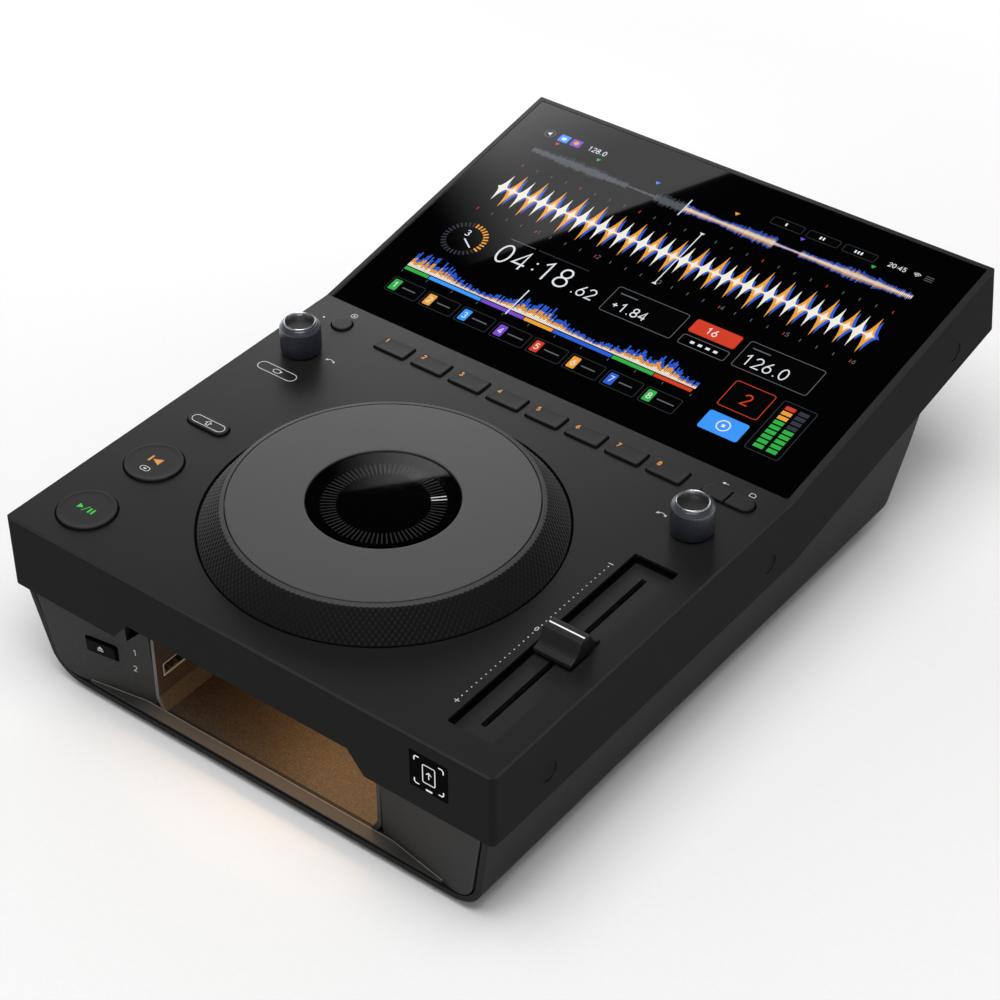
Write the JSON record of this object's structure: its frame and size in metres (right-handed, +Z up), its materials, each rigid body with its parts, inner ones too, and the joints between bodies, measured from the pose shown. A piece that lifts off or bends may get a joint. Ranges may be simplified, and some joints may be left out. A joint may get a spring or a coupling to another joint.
{
  "type": "tabletop media player for mixing music",
  "caption": "Flat player with a large jog wheel, pitch fader, cue pads and knobs on the deck, a tilted touch screen behind, and a lit front bay for a memory stick.",
  "frame": {"origin": "on the surface under the feet, below the middle of the outline", "axes": "+X to the player's right, +Y from the front edge to the back, +Z up"},
  "size_m": [0.25, 0.3696, 0.116],
  "materials": {
    "cover_black": "fine matte texture",
    "tray_grey": "satin powder coat",
    "bay_lining": "fine matte texture, lit from above",
    "light_guide": "frosted",
    "socket_metal": "nickel plated",
    "board_green": "solder mask",
    "dark_moulding": "moulded",
    "key_black": "satin",
    "screen_black": "polished",
    "rubber_foot": "matte",
    "plain_steel": "zinc plated",
    "bearing_steel": "ground",
    "hub_metal": "turned",
    "jog_grip": "fine matte texture",
    "jog_top": "dark anodised",
    "knob_smoke": "smoked, ribbed"
  },
  "bodies": {
    "chassis": {"top_cover": "cover_black", "tray": "tray_grey", "front_fascia": "tray_grey", "bay_liner": "bay_lining", "bay_light_bar": "light_guide", "bay_usb_port": "socket_metal", "front_usb_port": "socket_metal", "usb_board": "board_green", "rear_panel": "cover_black", "power_inlet": "dark_moulding", "power_switch_frame": "dark_moulding", "network_jack": "socket_metal", "audio_jacks": "socket_metal", "screen_back_cover": "cover_black", "screen_glass": "screen_black", "screen_module": "plain_steel", "tap_window": "screen_black", "side_plugs": "dark_moulding", "feet": "rubber_foot", "tray_screws": "plain_steel", "rear_screws": "plain_steel", "fader_trough": "dark_moulding", "fader_unit": "plain_steel", "control_board": "board_green", "board_screws": "plain_steel", "key_switches": "dark_moulding", "knob_encoders": "plain_steel", "jog_base": "dark_moulding", "jog_bearing": "bearing_steel", "jog_post": "plain_steel", "jog_display": "screen_black", "jog_sensor": "dark_moulding", "main_board": "board_green", "power_supply": "board_green"},
    "jog_wheel": {"jog_hub": "hub_metal", "jog_rim": "jog_grip", "jog_plate": "jog_top", "jog_code_disc": "plain_steel"},
    "fader": {"fader_cap": "key_black", "fader_carriage": "plain_steel"},
    "rocker": {"power_rocker": "key_black"},
    "loop_push": {"loop_shaft": "plain_steel"},
    "loop_turn": {"loop_knob": "knob_smoke"},
    "browse_push": {"browse_shaft": "plain_steel"},
    "browse_turn": {"browse_knob": "knob_smoke"},
    "play_key": {"play_button": "key_black"},
    "cue_key": {"cue_button": "key_black"},
    "shift_key": {"shift_button": "key_black"},
    "delete_key": {"delete_button": "key_black"},
    "back_key": {"back_button": "key_black"},
    "tag_key": {"tag_button": "key_black"},
    "eject_key": {"eject_button": "key_black"},
    "pad_1_key": {"pad_1": "key_black"},
    "pad_2_key": {"pad_2": "key_black"},
    "pad_3_key": {"pad_3": "key_black"},
    "pad_4_key": {"pad_4": "key_black"},
    "pad_5_key": {"pad_5": "key_black"},
    "pad_6_key": {"pad_6": "key_black"},
    "pad_7_key": {"pad_7": "key_black"},
    "pad_8_key": {"pad_8": "key_black"}
  },
  "joints": [
    {"name": "jog_spin", "type": "hinge", "parent": "chassis", "child": "jog_wheel", "pos_m": [0, -0.09438, 0.0875], "axis": [0, 0, 1], "continuous": true},
    {"name": "fader_slide", "type": "slide", "parent": "chassis", "child": "fader", "axis": [0, 1, 0], "range_m": [-0.05, 0.05]},
    {"name": "play_press", "type": "slide", "parent": "chassis", "child": "play_key", "axis": [0, 0, -1], "range_m": [0, 0.0008], "stiffness_N_per_m": 700, "springref_m": -0.0008},
    {"name": "cue_press", "type": "slide", "parent": "chassis", "child": "cue_key", "axis": [0, 0, -1], "range_m": [0, 0.0008], "stiffness_N_per_m": 700, "springref_m": -0.0008},
    {"name": "shift_press", "type": "slide", "parent": "chassis", "child": "shift_key", "axis": [0, 0, -1], "range_m": [0, 0.0008], "stiffness_N_per_m": 700, "springref_m": -0.0008},
    {"name": "delete_press", "type": "slide", "parent": "chassis", "child": "delete_key", "axis": [0, 0, -1], "range_m": [0, 0.0008], "stiffness_N_per_m": 700, "springref_m": -0.0008},
    {"name": "back_press", "type": "slide", "parent": "chassis", "child": "back_key", "axis": [0, 0, -1], "range_m": [0, 0.0008], "stiffness_N_per_m": 700, "springref_m": -0.0008},
    {"name": "tag_press", "type": "slide", "parent": "chassis", "child": "tag_key", "axis": [0, 0, -1], "range_m": [0, 0.0008], "stiffness_N_per_m": 700, "springref_m": -0.0008},
    {"name": "eject_press", "type": "slide", "parent": "chassis", "child": "eject_key", "axis": [-0.1435, 0.989, 0.0345], "range_m": [0, 0.0008], "stiffness_N_per_m": 700, "springref_m": -0.0008},
    {"name": "pad_1_press", "type": "slide", "parent": "chassis", "child": "pad_1_key", "axis": [0, 0, -1], "range_m": [0, 0.0008], "stiffness_N_per_m": 700, "springref_m": -0.0008},
    {"name": "pad_2_press", "type": "slide", "parent": "chassis", "child": "pad_2_key", "axis": [0, 0, -1], "range_m": [0, 0.0008], "stiffness_N_per_m": 700, "springref_m": -0.0008},
    {"name": "pad_3_press", "type": "slide", "parent": "chassis", "child": "pad_3_key", "axis": [0, 0, -1], "range_m": [0, 0.0008], "stiffness_N_per_m": 700, "springref_m": -0.0008},
    {"name": "pad_4_press", "type": "slide", "parent": "chassis", "child": "pad_4_key", "axis": [0, 0, -1], "range_m": [0, 0.0008], "stiffness_N_per_m": 700, "springref_m": -0.0008},
    {"name": "pad_5_press", "type": "slide", "parent": "chassis", "child": "pad_5_key", "axis": [0, 0, -1], "range_m": [0, 0.0008], "stiffness_N_per_m": 700, "springref_m": -0.0008},
    {"name": "pad_6_press", "type": "slide", "parent": "chassis", "child": "pad_6_key", "axis": [0, 0, -1], "range_m": [0, 0.0008], "stiffness_N_per_m": 700, "springref_m": -0.0008},
    {"name": "pad_7_press", "type": "slide", "parent": "chassis", "child": "pad_7_key", "axis": [0, 0, -1], "range_m": [0, 0.0008], "stiffness_N_per_m": 700, "springref_m": -0.0008},
    {"name": "pad_8_press", "type": "slide", "parent": "chassis", "child": "pad_8_key", "axis": [0, 0, -1], "range_m": [0, 0.0008], "stiffness_N_per_m": 700, "springref_m": -0.0008},
    {"name": "loop_press", "type": "slide", "parent": "chassis", "child": "loop_push", "axis": [0, 0, -1], "range_m": [0, 0.0008], "stiffness_N_per_m": 900, "springref_m": -0.0008},
    {"name": "loop_spin", "type": "hinge", "parent": "loop_push", "child": "loop_turn", "pos_m": [-0.1051, -0.02398, 0.0925], "axis": [0, 0, 1], "continuous": true},
    {"name": "browse_press", "type": "slide", "parent": "chassis", "child": "browse_push", "axis": [0, 0, -1], "range_m": [0, 0.0008], "stiffness_N_per_m": 900, "springref_m": -0.0008},
    {"name": "browse_spin", "type": "hinge", "parent": "browse_push", "child": "browse_turn", "pos_m": [0.102, -0.02398, 0.0925], "axis": [0, 0, 1], "continuous": true},
    {"name": "power_rock", "type": "hinge", "parent": "chassis", "child": "rocker", "pos_m": [-0.052, 0.11521, 0.0255], "axis": [1, 0, 0], "range_deg": [-16, 0]}
  ]
}
